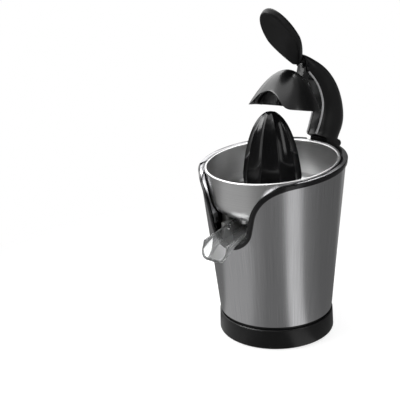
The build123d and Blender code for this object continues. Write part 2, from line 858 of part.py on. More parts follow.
motor_corners = (stator_size[0] / 2 - motor_screw_inset, stator_size[1] / 2 - motor_screw_inset)
with BuildPart() as gear_plate:
    with BuildSketch(Plane.XY.offset(gear_plate_height)):
        Circle(shell_at(gear_plate_height) - shell_wall - gear_plate_gap)
        with Locations(*post_places):
            Circle(post_tip_radius + fit_gap, mode=Mode.SUBTRACT)
        with Locations((0, idler_y)):
            Circle(axle_radius + fit_gap, mode=Mode.SUBTRACT)
        with Locations((0, motor_y)):
            Circle(motor_shaft_radius + motor_bush_wall, mode=Mode.SUBTRACT)
            with GridLocations(2 * motor_corners[0], 2 * motor_corners[1], 2, 2):
                Circle(screw_radius + fit_gap, mode=Mode.SUBTRACT)
    extrude(amount=gear_plate_thickness)

with BuildPart() as gear_deck:
    with BuildSketch(Plane.XY.offset(deck_height)):
        Circle(shell_at(deck_height) - shell_wall - deck_gap)
    extrude(amount=deck_thickness)
    with BuildSketch(Plane.XY.offset(deck_top)):
        Circle(boss_radius)
    extrude(amount=boss_height)
    with Locations((0, 0, deck_top)):
        Cylinder(shaft_radius + bush_wall + fit_gap, 4 * deck_thickness, mode=Mode.SUBTRACT)
    with Locations((0, idler_y, deck_top)):
        Cylinder(axle_radius + fit_gap, 4 * deck_thickness, mode=Mode.SUBTRACT)
    with Locations(*((x, y, deck_top) for x, y in post_places)):
        Cylinder(screw_radius + fit_gap, 4 * deck_thickness, mode=Mode.SUBTRACT)

with BuildPart() as shaft_bush:
    with BuildSketch(Plane.XY.offset(deck_height)):
        Circle(shaft_radius + bush_wall)
        Circle(shaft_radius + run_gap, mode=Mode.SUBTRACT)
    extrude(amount=deck_thickness + boss_height)

with BuildPart() as shaft_seal:
    with BuildSketch(Plane.XY.offset(bowl_floor)):
        Circle(tube_radius - tube_wall - fit_gap)
        Circle(shaft_radius + run_gap, mode=Mode.SUBTRACT)
    extrude(amount=4 * bowl_wall)

with BuildPart() as deck_screws:
    with Locations(*((x, y, deck_top) for x, y in post_places)):
        Cylinder(screw_head_radius, screw_head, align=(Align.CENTER, Align.CENTER, Align.MIN))
        Cylinder(
            screw_radius,
            deck_thickness + screw_length - screw_end,
            align=(Align.CENTER, Align.CENTER, Align.MAX),
        )

with BuildPart() as chassis_screws:
    with Locations(*((x, y, shell_bottom - base_flange_height) for x, y in post_places)):
        Cylinder(screw_head_radius, screw_head, align=(Align.CENTER, Align.CENTER, Align.MAX))
        Cylinder(
            screw_radius,
            base_flange_height + screw_length - screw_end,
            align=(Align.CENTER, Align.CENTER, Align.MIN),
        )

# Bowl support with two ears for the spout
spout_pivot = (spout_inset - support_radius, bowl_floor - spout_drop)
ear_inside = spout_half + spout_ear_gap
with BuildPart() as bowl_support:
    with BuildSketch(Plane.XY.offset(deck_top)):
        Circle(support_radius)
        Circle(support_radius - support_wall, mode=Mode.SUBTRACT)
        with Locations((0, -support_radius)):
            Rectangle(2 * support_opening, support_radius, mode=Mode.SUBTRACT)
    extrude(amount=bowl_floor - deck_top)
    ear_front = spout_pivot[0] - 2 * trunnion_radius
    ear_back = -sqrt((support_radius - support_wall) ** 2 - support_opening**2) + support_wall
    with BuildSketch(Plane.XY.offset(deck_top)):
        for side in (-1, 1):
            with Locations((side * (ear_inside + spout_ear_thickness / 2), (ear_front + ear_back) / 2)):
                Rectangle(spout_ear_thickness, ear_back - ear_front)
    extrude(amount=spout_pivot[1] + 2 * trunnion_radius - deck_top)
    with Locations(Location((0, *spout_pivot), (0, 90, 0))):
        Cylinder(trunnion_radius + run_gap, 4 * spout_half, mode=Mode.SUBTRACT)
    with Locations(*((x, y, deck_top) for x, y in post_places)):
        Cylinder(screw_head_radius + move_gap, 2 * screw_head + move_gap, mode=Mode.SUBTRACT)

# Motor, which hangs from the gear plate
upper_plate = gear_plate_height - motor_gap - motor_plate
stator_top = upper_plate - coil_overhang - coil_gap
stator_bottom = stator_top - stator_height
lower_plate = stator_bottom - coil_overhang - coil_gap - motor_plate
fan_bottom = lower_plate - fan_gap - fan_height
window_inner = rotor_radius + air_gap + window_wall
with BuildPart() as stator:
    with BuildSketch(Plane.XY.offset(stator_bottom)):
        with Locations((0, motor_y)):
            RectangleRounded(stator_size[0], stator_size[1], stator_edge)
            Circle(rotor_radius + air_gap, mode=Mode.SUBTRACT)
            for side in (-1, 1):
                for pole in (-1, 1):
                    with Locations((
                        side * (pole_half + window_width / 2),
                        pole * (window_inner + window_depth / 2),
                    )):
                        Rectangle(window_width, window_depth, mode=Mode.SUBTRACT)
            with GridLocations(2 * motor_corners[0], 2 * motor_corners[1], 2, 2):
                Circle(screw_radius + fit_gap, mode=Mode.SUBTRACT)
    extrude(amount=stator_height)

with BuildPart() as field_coils:
    for pole in (-1, 1):
        coil_y = motor_y + pole * (window_inner + window_depth / 2)
        coil_depth = window_depth - 2 * coil_gap
        with BuildSketch(Plane.XZ.offset(-coil_y)):
            with Locations((0, stator_bottom + stator_height / 2)):
                RectangleRounded(
                    2 * (pole_half + window_width - coil_gap),
                    stator_height + 2 * coil_overhang,
                    coil_round,
                )
                Rectangle(
                    2 * (pole_half + coil_gap),
                    stator_height + 2 * coil_gap,
                    mode=Mode.SUBTRACT,
                )
        extrude(amount=coil_depth / 2, both=True)

motor_ends = {}
for name, plate_z, leg_z, leg_length in (
    ("motor_lower_bracket", lower_plate, lower_plate, stator_bottom - lower_plate),
    ("motor_upper_bracket", upper_plate, stator_top, gear_plate_height - stator_top),
):
    with BuildPart() as bracket_end:
        with BuildSketch(Plane.XY.offset(plate_z)):
            with Locations((0, motor_y)):
                RectangleRounded(stator_size[0], stator_size[1], stator_edge)
                for side in (-1, 1):
                    with Locations((side * stator_size[0] / 4, 0)):
                        RectangleRounded(*motor_vent, stator_edge, mode=Mode.SUBTRACT)
        extrude(amount=motor_plate)
        with BuildSketch(Plane.XY.offset(leg_z)):
            with Locations((0, motor_y)):
                with GridLocations(2 * motor_corners[0], 2 * motor_corners[1], 2, 2):
                    Circle(motor_leg_radius)
        extrude(amount=leg_length)
        with Locations((0, motor_y, plate_z)):
            Cylinder(motor_shaft_radius + motor_bush_wall + fit_gap, 4 * motor_plate, mode=Mode.SUBTRACT)
            with GridLocations(2 * motor_corners[0], 2 * motor_corners[1], 2, 2):
                Cylinder(screw_radius + fit_gap, 4 * stator_height, mode=Mode.SUBTRACT)
    motor_ends[name] = bracket_end

with BuildPart() as motor_bushes:
    for plate_z in (lower_plate, upper_plate):
        bush_z = plate_z + (motor_plate - motor_bush_length) / 2
        with BuildSketch(Plane.XY.offset(bush_z)):
            with Locations((0, motor_y)):
                Circle(motor_shaft_radius + motor_bush_wall)
                Circle(motor_shaft_radius + run_gap, mode=Mode.SUBTRACT)
        extrude(amount=motor_bush_length)

with BuildPart() as motor_screws:
    with Locations((0, motor_y, lower_plate)):
        with GridLocations(2 * motor_corners[0], 2 * motor_corners[1], 2, 2):
            Cylinder(screw_head_radius, screw_head, align=(Align.CENTER, Align.CENTER, Align.MAX))
            Cylinder(
                screw_radius,
                gear_plate_height + gear_plate_thickness - lower_plate,
                align=(Align.CENTER, Align.CENTER, Align.MIN),
            )

pinion_top = wheel_bottom + wheel_width
with BuildPart() as motor_shaft:
    with BuildSketch(Plane.XY.offset(fan_bottom)):
        with Locations((0, motor_y)):
            Circle(motor_shaft_radius)
    extrude(amount=pinion_top - fan_bottom)
    with BuildSketch(Plane.XY.offset(wheel_bottom)):
        with BuildLine():
            Polyline(gear_outline(pinion_teeth, fine_module, 90 + half_tooth, motor_y), close=True)
        make_face()
    extrude(amount=wheel_width)

with BuildPart() as rotor_core:
    with BuildSketch(Plane.XY.offset(stator_bottom)):
        with Locations((0, motor_y)):
            Circle(rotor_radius)
    extrude(amount=stator_height)
    with BuildSketch(Plane.XY.offset(stator_bottom - rotor_ring)):
        with Locations((0, motor_y)):
            Circle(rotor_radius - rotor_ring_inset)
    extrude(amount=stator_height + 2 * rotor_ring)
    with Locations((0, motor_y, stator_bottom)):
        Cylinder(motor_shaft_radius + fit_gap, 4 * stator_height, mode=Mode.SUBTRACT)

with BuildPart() as cooling_fan:
    with BuildSketch(Plane.XY.offset(fan_bottom)):
        with Locations((0, motor_y)):
            Circle(fan_radius)
    extrude(amount=fan_wall)
    with BuildSketch(Plane.XY.offset(fan_bottom)):
        with Locations((0, motor_y)):
            Circle(2 * motor_shaft_radius)
            with PolarLocations(fan_radius / 2, fan_blades):
                Rectangle(fan_radius, fan_wall)
    extrude(amount=fan_height)
    with Locations((0, motor_y, fan_bottom)):
        Cylinder(motor_shaft_radius + fit_gap, 4 * fan_height, mode=Mode.SUBTRACT)

# Hinge bracket on the back of the shell, with pin, washers and screws
ear_inner = knuckle_half + washer_thickness + 2 * gear_gap
ear_outer = ear_inner + ear_thickness
with BuildPart() as shell_body:
    with BuildSketch(Plane.XZ):
        with BuildLine():
            Polyline(
                (0, shell_bottom),
                (shell_at(shell_bottom) + fit_gap, shell_bottom),
                (shell_at(shell_top) + fit_gap, shell_top),
                (0, shell_top),
                close=True,
            )
        make_face()
    revolve(axis=Axis.Z)
with BuildPart() as hinge_bracket:
    with BuildSketch(Plane.YZ):
        with Locations((hinge_y, hinge_z)):
            Circle(ear_radius)
        with BuildLine():
            Polyline(
                (bowl_radius, bracket_bottom),
                (hinge_y + bracket_depth, bracket_bottom),
                (hinge_y + bracket_depth, bracket_bottom + bracket_toe),
                (bowl_radius, hinge_z + ear_radius),
                close=True,
            )
        make_face()
        make_hull()
    extrude(amount=ear_outer, both=True)
    chamfer(hinge_bracket.faces().filter_by(Axis.X).edges(), bracket_edge)
    with Locations((0, hinge_y, bracket_bottom + bracket_web + 2 * rim_space)):
        Box(2 * ear_inner, 4 * rim_space, 4 * rim_space, mode=Mode.SUBTRACT)
    add(shell_body.part, mode=Mode.SUBTRACT)
    with Locations(Location((0, hinge_y, hinge_z), (0, 90, 0))):
        Cylinder(hinge_pin_radius + fit_gap, 4 * ear_outer, mode=Mode.SUBTRACT)
    for side in (-1, 1):
        screw_place = (side * bracket_screw_x, shell_at(bracket_screw_z), bracket_screw_z)
        with Locations(Location(screw_place, (90, 0, 0))):
            Cylinder(screw_radius + fit_gap, 2 * bracket_screw_length, mode=Mode.SUBTRACT)

screw_wall = shell_at(bracket_screw_z) - shell_wall
screw_seat = sqrt(screw_wall**2 - (bracket_screw_x + screw_head_radius) ** 2) - move_gap
with BuildPart() as bracket_screws:
    for side in (-1, 1):
        with BuildSketch(Plane.XZ.offset(-screw_seat)):
            with Locations((side * bracket_screw_x, bracket_screw_z)):
                Circle(screw_head_radius)
        extrude(amount=screw_head / 2)
        with BuildSketch(Plane.XZ.offset(-screw_seat)):
            with Locations((side * bracket_screw_x, bracket_screw_z)):
                Circle(screw_radius)
        extrude(amount=-bracket_screw_length)

with BuildPart() as hinge_pin:
    with BuildSketch(Plane.YZ):
        with Locations((hinge_y, hinge_z)):
            Circle(hinge_pin_radius)
    extrude(amount=ear_outer, both=True)
    for side in (-1, 1):
        with BuildSketch(Plane.YZ.offset(side * ear_outer)):
            with Locations((hinge_y, hinge_z)):
                Circle(pin_head_radius)
        extrude(amount=side * pin_head)
    fillet(hinge_pin.faces().sort_by(Axis.X)[0].edges(), pin_edge)
    fillet(hinge_pin.faces().sort_by(Axis.X)[-1].edges(), pin_edge)

with BuildPart() as hinge_washers:
    for side in (-1, 1):
        with BuildSketch(Plane.YZ.offset(side * (knuckle_half + gear_gap))):
            with Locations((hinge_y, hinge_z)):
                Circle(knuckle_radius - washer_inset)
                Circle(hinge_pin_radius + fit_gap, mode=Mode.SUBTRACT)
        extrude(amount=side * washer_thickness)

# Lever arm: a crescent through D-shaped sections, a leg to the hinge, a slot for the cup's tongue
palm_root = from_hinge(palm_offset)
cup_apex = from_hinge(cup_offset)
cup_pivot = from_hinge(pivot_offset)
palm_back = (0, sin(radians(palm_angle)), cos(radians(palm_angle)))
palm_face = Plane(
    origin=(
        0,
        palm_root[0] - palm_rear * cos(radians(palm_angle)),
        palm_root[1] + palm_rear * sin(radians(palm_angle)),
    ),
    x_dir=(1, 0, 0),
    z_dir=palm_back,
)
round_handle = 4 / 3 * (sqrt(2) - 1)    # handle of a quarter of an ellipse, as a part of its radius


def palm_plate(grow):
    """Egg-shaped plate of the palm rest, grown all round by an amount."""
    taper = [(palm_half_width * across, palm_rear * along) for across, along in palm_taper]
    with BuildPart() as plate:
        with BuildSketch(palm_face.offset(-grow)):
            with BuildLine():
                Bezier(
                    (0, -palm_front),
                    (palm_half_width * round_handle, -palm_front),
                    (palm_half_width, -palm_front * round_handle),
                    (palm_half_width, 0),
                )
                Bezier((palm_half_width, 0), *taper, (palm_heel, palm_rear))
                Line((palm_heel, palm_rear), (0, palm_rear))
                mirror(about=Plane.YZ)
            make_face()
            if grow:
                offset(amount=grow)
        extrude(amount=palm_thickness + 2 * grow)
    return plate.part


def cross_section(inner, outer):
    """Plane from an inner to an outer point of the middle plane, and their distance."""
    depth = hypot(outer[0] - inner[0], outer[1] - inner[1])
    across = ((outer[0] - inner[0]) / depth, (outer[1] - inner[1]) / depth)
    plane = Plane(origin=(0, *inner), x_dir=(1, 0, 0), z_dir=(0, -across[1], across[0]))
    return plane, depth


with BuildPart() as arm_leg:
    with BuildSketch(Plane.YZ):
        with Locations((hinge_y, hinge_z)):
            Circle(knuckle_radius)
        with Locations(from_hinge(leg_front)):
            Circle(leg_front_radius)
        with Locations(from_hinge(leg_back)):
            Circle(leg_back_radius)
        make_hull()
    extrude(amount=knuckle_half, both=True)
    chamfer(arm_leg.faces().filter_by(Axis.X).edges(), leg_edge)

tang_plane = Plane(origin=(0, *from_hinge(tang_offset)), x_dir=(1, 0, 0), z_dir=(0, 1, 0))
with BuildPart() as lever_arm:
    for inner, outer, width, face in arm_stations:
        section, depth = cross_section(from_hinge(inner), from_hinge(outer))
        with BuildSketch(section):
            with BuildLine():
                Line((0, 0), (face / 2, 0))
                cheek = [(width * across, depth * along) for across, along in arm_cheek]
                back = [(width * across, depth * along) for across, along in arm_back]
                Bezier((face / 2, 0), *cheek)
                Bezier(cheek[-1], *back)
                mirror(about=Plane.YZ)
            make_face()
    loft()
    add(arm_leg.part)
    with Locations(Location((0, hinge_y, hinge_z), (0, 90, 0))):
        Cylinder(hinge_pin_radius + run_gap, 4 * knuckle_half, mode=Mode.SUBTRACT)
    with BuildSketch(Plane.YZ):
        with Locations(cup_pivot):
            Circle(tongue_radius + move_gap)
            with Locations(*tongue_sweep):
                Circle(tongue_sweep_radius)
        make_hull()
    extrude(amount=tongue_half + move_gap, both=True, mode=Mode.SUBTRACT)
    with Locations(Location((0, *cup_pivot), (0, 90, 0))):
        Cylinder(cup_pin_radius + fit_gap, 4 * cup_pin_half, mode=Mode.SUBTRACT)
    add(palm_plate(fit_gap), mode=Mode.SUBTRACT)
    with BuildSketch(tang_plane):
        Circle(tang_radius + fit_gap)
    extrude(amount=tang_length + fit_gap, mode=Mode.SUBTRACT)

with BuildPart() as cup_pin:
    with BuildSketch(Plane.YZ):
        with Locations(cup_pivot):
            Circle(cup_pin_radius)
    extrude(amount=cup_pin_half, both=True)

# Palm rest: an egg-shaped plate with rounded edges, and a tang in the arm's end
with BuildPart() as palm_rest:
    add(palm_plate(0))
    palm_sides = palm_rest.faces().sort_by(Axis((0, *palm_root), palm_back))
    fillet(palm_sides[0].edges(), palm_face_edge)
    palm_sides = palm_rest.faces().sort_by(Axis((0, *palm_root), palm_back))
    fillet(palm_sides[-1].edges(), palm_back_edge)
    with BuildSketch(tang_plane):
        Circle(tang_radius)
    extrude(amount=tang_length)

# Press cup: a paraboloid with a front arch, ribs inside and a tongue to the pin
tilt = radians(cup_tilt)
cup_up = (0, sin(tilt), cos(tilt))
cup_front = (0, -cos(tilt), sin(tilt))
cup_plane = Plane(origin=(0, *cup_apex), x_dir=(1, 0, 0), z_dir=cup_front)
cup_axis = Axis((0, *cup_apex), cup_up)


def paraboloid(inset):
    """Solid paraboloid under the cup's apex, drawn in by an amount."""
    mouth = cup_mouth - inset
    bottom = -cup_depth - inset
    with BuildPart() as solid:
        with BuildSketch(cup_plane):
            with BuildLine():
                Bezier((0, -inset), (mouth / 2, -inset), (mouth, bottom))
                Polyline((mouth, bottom), (0, bottom), (0, -inset))
            make_face()
        revolve(axis=cup_axis)
    return solid.part


with BuildPart() as cup_fins:
    add(paraboloid(cup_wall))
    add(paraboloid(cup_wall + cup_rib), mode=Mode.SUBTRACT)
    with BuildSketch(Plane(origin=(0, *cup_apex), x_dir=(1, 0, 0), z_dir=cup_up)):
        with PolarLocations(cup_mouth / 2, cup_ribs):
            Rectangle(cup_mouth, cup_rib_thickness)
        Circle(tongue_half, mode=Mode.SUBTRACT)
    extrude(amount=-2 * cup_depth, mode=Mode.INTERSECT)

with BuildPart() as press_cup:
    add(paraboloid(0))
    with BuildSketch(Plane.YZ):
        with Locations(cup_pivot):
            Circle(tongue_radius)
            with Locations((tongue_lean, -tongue_drop)):
                Circle(tongue_foot)
        make_hull()
    extrude(amount=tongue_half, both=True)
    add(paraboloid(cup_wall), mode=Mode.SUBTRACT)
    add(cup_fins.part)
    with BuildSketch(cup_plane):
        with BuildLine():
            Spline(
                (-arch_half, -cup_depth),
                (-arch_side, -arch_side_depth),
                (0, -arch_peak),
                (arch_side, -arch_side_depth),
                (arch_half, -cup_depth),
                tangents=((1, arch_foot_slope), (1, -arch_foot_slope)),
            )
            Polyline(
                (arch_half, -cup_depth),
                (arch_half, -2 * cup_depth),
                (-arch_half, -2 * cup_depth),
                (-arch_half, -cup_depth),
            )
        make_face()
    extrude(amount=2 * cup_mouth, mode=Mode.SUBTRACT)
    with BuildSketch(cup_plane):
        with Locations((0, -2 * cup_depth)):
            Rectangle(4 * cup_mouth, 2 * cup_depth)
    extrude(amount=2 * cup_mouth, both=True, mode=Mode.SUBTRACT)
    with Locations(Location((0, *cup_pivot), (0, 90, 0))):
        Cylinder(cup_pin_radius + run_gap, 4 * tongue_half, mode=Mode.SUBTRACT)

# Spout: a clear trough on two trunnions
def trough(stations, half, corner):
    """A solid trough with rounded lower corners through stations of a floor point and a top point."""
    corner_mid = corner * (1 - sin(radians(45)))
    with BuildPart() as solid:
        for floor, top in stations:
            section, height = cross_section(floor, top)
            with BuildSketch(section):
                with BuildLine():
                    Line((0, 0), (half - corner, 0))
                    ThreePointArc((half - corner, 0), (half - corner_mid, corner_mid), (half, corner))
                    Polyline((half, corner), (half, height), (0, height))
                    mirror(about=Plane.YZ)
                make_face()
        loft(ruled=True)
    return solid.part


def from_pivot(offset):
    """Y and Z of a point that is given from the spout's pivot."""
    return (spout_pivot[0] + offset[0], spout_pivot[1] + offset[1])


spout_corner = from_pivot(corner_offset)
spout_tip = from_pivot(tip_offset)
spout_bend = from_pivot(bend_offset)
spout_rear_floor = from_pivot(rear_floor_offset)
spout_rear_top = from_pivot(rear_top_offset)
floor_slope = (spout_bend[1] - spout_tip[1]) / (spout_bend[0] - spout_tip[0])
top_slope = (spout_rear_top[1] - spout_corner[1]) / (spout_rear_top[0] - spout_corner[0])
bend_top = spout_corner[1] + top_slope * (spout_bend[0] - spout_corner[0])
channel_front = spout_tip[0] - spout_half
channel_rear = spout_rear_floor[0] - spout_wall
channel_top = spout_rear_top[1] + spout_half
channel_tip = spout_tip[1] - spout_half * floor_slope + spout_wall
with BuildPart() as spout:
    add(trough(
        (
            (spout_rear_floor, spout_rear_top),
            (spout_bend, (spout_bend[0], bend_top)),
            (spout_tip, spout_corner),
        ),
        spout_half,
        spout_round,
    ))
    add(
        trough(
            (
                ((channel_rear, spout_rear_floor[1] + spout_wall), (channel_rear, channel_top)),
                ((spout_bend[0], spout_bend[1] + spout_wall), (spout_bend[0], channel_top)),
                ((channel_front, channel_tip), (channel_front, channel_top)),
            ),
            spout_half - spout_wall,
            spout_round - spout_wall,
        ),
        mode=Mode.SUBTRACT,
    )
    for side in (-1, 1):
        with BuildSketch(Plane.YZ.offset(side * (spout_half - spout_wall / 2))):
            with Locations(spout_pivot):
                Circle(trunnion_radius)
        extrude(amount=side * (spout_wall / 2 + trunnion_length))

pieces = {
    "base_ring": base_ring,
    "base_plate": base_plate,
    "rubber_feet": rubber_feet,
    "base_screws": base_screws,
    "cord_gland": cord_gland,
    "outer_shell": outer_shell,
    "edge_trim": edge_trim,
    **collars,
    "notch_liner": notch_liner,
    "juice_bowl": juice_bowl,
    "strainer": strainer,
    "reamer_cone": reamer_cone,
    "drive_shaft": drive_shaft,
    "thrust_cup": thrust_cup,
    "return_spring": return_spring,
    "micro_switch": micro_switch,
    "switch_plunger": switch_plunger,
    "output_gear": output_gear,
    "idler_gear": idler_gear,
    "idler_axle": idler_axle,
    "chassis": chassis,
    "chassis_screws": chassis_screws,
    "gear_plate": gear_plate,
    "gear_deck": gear_deck,
    "deck_screws": deck_screws,
    "shaft_bush": shaft_bush,
    "shaft_seal": shaft_seal,
    "bowl_support": bowl_support,
    "stator": stator,
    "field_coils": field_coils,
    **motor_ends,
    "motor_bushes": motor_bushes,
    "motor_screws": motor_screws,
    "motor_shaft": motor_shaft,
    "rotor_core": rotor_core,
    "cooling_fan": cooling_fan,
    "hinge_bracket": hinge_bracket,
    "bracket_screws": bracket_screws,
    "hinge_pin": hinge_pin,
    "hinge_washers": hinge_washers,
    "lever_arm": lever_arm,
    "cup_pin": cup_pin,
    "palm_rest": palm_rest,
    "press_cup": press_cup,
    "spout": spout,
}
os.makedirs("parts", exist_ok=True)
for node, piece in pieces.items():
    piece.part.label = node
    export_step(piece.part, f"parts/{node}.step")
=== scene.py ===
# %% [markdown]
# # Dressing an electric citrus press
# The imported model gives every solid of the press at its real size, in metres, with +Z up, the spout at -Y
# and the lever arm at +Y. This lesson gives those solids their finishes, rounds the edges that a moulding
# or a pressed sheet would have, and sets up a small product studio around the press.

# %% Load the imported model
import json
import math

import bmesh
import bpy
from mathutils import Matrix, Vector


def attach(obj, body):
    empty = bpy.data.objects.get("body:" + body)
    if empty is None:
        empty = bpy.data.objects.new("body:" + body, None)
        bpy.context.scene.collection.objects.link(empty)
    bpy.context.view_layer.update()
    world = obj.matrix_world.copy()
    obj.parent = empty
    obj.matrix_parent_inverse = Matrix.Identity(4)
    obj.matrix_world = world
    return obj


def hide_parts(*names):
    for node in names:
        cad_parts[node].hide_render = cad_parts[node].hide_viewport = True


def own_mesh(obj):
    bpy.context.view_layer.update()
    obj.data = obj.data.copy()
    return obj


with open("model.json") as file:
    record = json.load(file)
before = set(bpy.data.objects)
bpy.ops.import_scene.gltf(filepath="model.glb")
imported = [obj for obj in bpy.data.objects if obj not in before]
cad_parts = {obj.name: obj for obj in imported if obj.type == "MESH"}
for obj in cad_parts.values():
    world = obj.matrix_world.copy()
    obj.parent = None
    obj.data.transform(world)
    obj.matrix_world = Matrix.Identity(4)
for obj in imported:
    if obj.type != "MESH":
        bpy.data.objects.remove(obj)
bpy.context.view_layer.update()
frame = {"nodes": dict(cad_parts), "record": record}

nodes = frame["nodes"]
record = frame["record"]
body_of = {node: body for body, members in record["behaviour"]["bodies"].items() for node in members}
slot_of = {entry["node"]: entry["material_slot"] for entry in record["subparts"]}

# %% [markdown]
# ## A short way to wire shader nodes
# Node trees are easier to read as one line for each node: its kind, its fixed values and its links. An
# input is given by its name, with _ for a space, or by its number, as in i0. A value that is itself a
# socket becomes a link, and anything else is set on the socket.

# %% Helpers for node trees
def put(tree, kind, settings=None, **inputs):
    """Add a node; settings are its own properties, and inputs are values or sockets."""
    node = tree.nodes.new(kind)
    for name, value in (settings or {}).items():
        setattr(node, name, value)
    for name, value in inputs.items():
        key = int(name[1:]) if name[0] == "i" and name[1:].isdigit() else name.replace("_", " ")
        if isinstance(value, bpy.types.NodeSocket):
            tree.links.new(value, node.inputs[key])
        else:
            node.inputs[key].default_value = value
    return node


def math_node(tree, operation, first, second=0.0):
    """A Math node, as its output socket."""
    return put(tree, "ShaderNodeMath", {"operation": operation}, i0=first, i1=second).outputs[0]


def shader_group(name, inputs, outputs):
    """An empty shader group with named float inputs and outputs, and its two end nodes."""
    group = bpy.data.node_groups.new(name, "ShaderNodeTree")
    for socket, default in inputs.items():
        made = group.interface.new_socket(socket, in_out="INPUT", socket_type="NodeSocketFloat")
        made.default_value = default
    for socket in outputs:
        group.interface.new_socket(socket, in_out="OUTPUT", socket_type="NodeSocketFloat")
    return group, group.nodes.new("NodeGroupInput"), group.nodes.new("NodeGroupOutput")


print("node helpers ready")

# %% [markdown]
# ## Brushed metal as a shared effect
# The shell was brushed upwards and the bowl was turned on a lathe. Both are fine lines in one direction on
# a round body, so one group serves both: it reads the place round the axis and the height, and stretches a
# noise along one of them.

# %% Shader group for brushed lines
lines_group, lines_in, lines_out = shader_group(
    "brushed_lines", {"Across": 1800.0, "Along": 12.0, "Turned": 0.0}, ["Streak", "Cloud"]
)
place = put(lines_group, "ShaderNodeTexCoord").outputs["Object"]
axes = put(lines_group, "ShaderNodeSeparateXYZ", Vector=place)
bearing = math_node(lines_group, "ARCTAN2", axes.outputs["Y"], axes.outputs["X"])
body_radius = 0.07
around = math_node(lines_group, "MULTIPLY", bearing, body_radius)
level = axes.outputs["Z"]
upright = put(
    lines_group, "ShaderNodeCombineXYZ",
    X=math_node(lines_group, "MULTIPLY", around, lines_in.outputs["Across"]),
    Y=math_node(lines_group, "MULTIPLY", level, lines_in.outputs["Along"]),
)
turned = put(
    lines_group, "ShaderNodeCombineXYZ",
    X=math_node(lines_group, "MULTIPLY", around, lines_in.outputs["Along"]),
    Y=math_node(lines_group, "MULTIPLY", level, lines_in.outputs["Across"]),
)
course = put(
    lines_group, "ShaderNodeMix", {"data_type": "VECTOR"},
    i0=lines_in.outputs["Turned"], i4=upright.outputs[0], i5=turned.outputs[0],
).outputs[1]
fine = put(lines_group, "ShaderNodeTexNoise", Vector=course, Scale=1.0, Detail=3.0, Roughness=0.65)
cloud = put(lines_group, "ShaderNodeTexNoise", Vector=place, Scale=18.0, Detail=2.0)
lines_group.links.new(fine.outputs[0], lines_out.inputs["Streak"])
lines_group.links.new(cloud.outputs[0], lines_out.inputs["Cloud"])
print("group", lines_group.name, "with", len(lines_group.nodes), "nodes")

# %% [markdown]
# ## Moulded plastic as a shared effect
# Black mouldings are never one flat black: the tool leaves a fine grain and hands leave faint dull patches.
# The group gives a grain height and a slow patch value.

# %% Shader group for moulded skin
skin_group, skin_in, skin_out = shader_group(
    "moulded_skin", {"Grain": 1400.0, "Patch": 35.0}, ["Height", "Patch"]
)
skin_place = put(skin_group, "ShaderNodeTexCoord").outputs["Object"]
grain = put(skin_group, "ShaderNodeTexNoise", Vector=skin_place, Scale=skin_in.outputs["Grain"], Detail=2.0)
patch = put(skin_group, "ShaderNodeTexNoise", Vector=skin_place, Scale=skin_in.outputs["Patch"], Detail=3.0)
skin_group.links.new(grain.outputs[0], skin_out.inputs["Height"])
skin_group.links.new(patch.outputs[0], skin_out.inputs["Patch"])
print("group", skin_group.name, "with", len(skin_group.nodes), "nodes")

# %% [markdown]
# ## Finishes
# Two recipes cover almost every piece. A metal takes its streaks into colour and a shallow bump, and its
# clouds into roughness. A moulding takes its patches into colour and roughness and its grain into a bump.
# Constant values stay on the Principled shader itself. Roughness varies only a little, because a wide range
# leaves contour lines when the picture is cleaned of noise.

# %% Recipes for metal and moulded finishes
finishes = {}
rough_spread = 0.02
bump_depth = 0.0002


def blank_material(name):
    """A material with only a Principled shader wired to its output."""
    material = bpy.data.materials.new(name)
    material.use_nodes = True
    tree = material.node_tree
    tree.nodes.clear()
    shader = tree.nodes.new("ShaderNodeBsdfPrincipled")
    output = tree.nodes.new("ShaderNodeOutputMaterial")
    tree.links.new(shader.outputs[0], output.inputs["Surface"])
    finishes[name] = material
    return tree, shader


def spread(tree, value, low, high):
    """Stretch a noise value, mostly between 0.3 and 0.7, to a range."""
    return put(
        tree, "ShaderNodeMapRange", Value=value, From_Min=0.3, From_Max=0.7, To_Min=low, To_Max=high
    ).outputs[0]


def tint(tree, value, dark, light):
    """Mix two colours by a value."""
    mix = put(tree, "ShaderNodeMix", {"data_type": "RGBA"}, i0=value, i6=(*dark, 1.0), i7=(*light, 1.0))
    return mix.outputs[2]


def metal(name, dark, light, rough, across, along, turned, bump):
    """A brushed or turned metal."""
    tree, shader = blank_material(name)
    lines = put(
        tree, "ShaderNodeGroup", {"node_tree": lines_group}, Across=across, Along=along, Turned=turned
    )
    shader.inputs["Metallic"].default_value = 1.0
    colour = tint(tree, spread(tree, lines.outputs["Streak"], 0.0, 1.0), dark, light)
    tree.links.new(colour, shader.inputs["Base Color"])
    rough_range = spread(tree, lines.outputs["Cloud"], rough - rough_spread, rough + rough_spread)
    tree.links.new(rough_range, shader.inputs["Roughness"])
    rise = put(tree, "ShaderNodeBump", Strength=bump, Distance=bump_depth, Height=lines.outputs["Streak"])
    tree.links.new(rise.outputs[0], shader.inputs["Normal"])


def moulding(name, dark, light, rough, grain_size, bump, specular):
    """A moulded plastic or rubber."""
    tree, shader = blank_material(name)
    skin = put(tree, "ShaderNodeGroup", {"node_tree": skin_group}, Grain=grain_size)
    colour = tint(tree, spread(tree, skin.outputs["Patch"], 0.0, 1.0), dark, light)
    tree.links.new(colour, shader.inputs["Base Color"])
    rough_range = spread(tree, skin.outputs["Patch"], rough - rough_spread, rough + rough_spread)
    tree.links.new(rough_range, shader.inputs["Roughness"])
    rise = put(tree, "ShaderNodeBump", Strength=bump, Distance=bump_depth, Height=skin.outputs["Height"])
    tree.links.new(rise.outputs[0], shader.inputs["Normal"])
    shader.inputs["Specular IOR Level"].default_value = specular


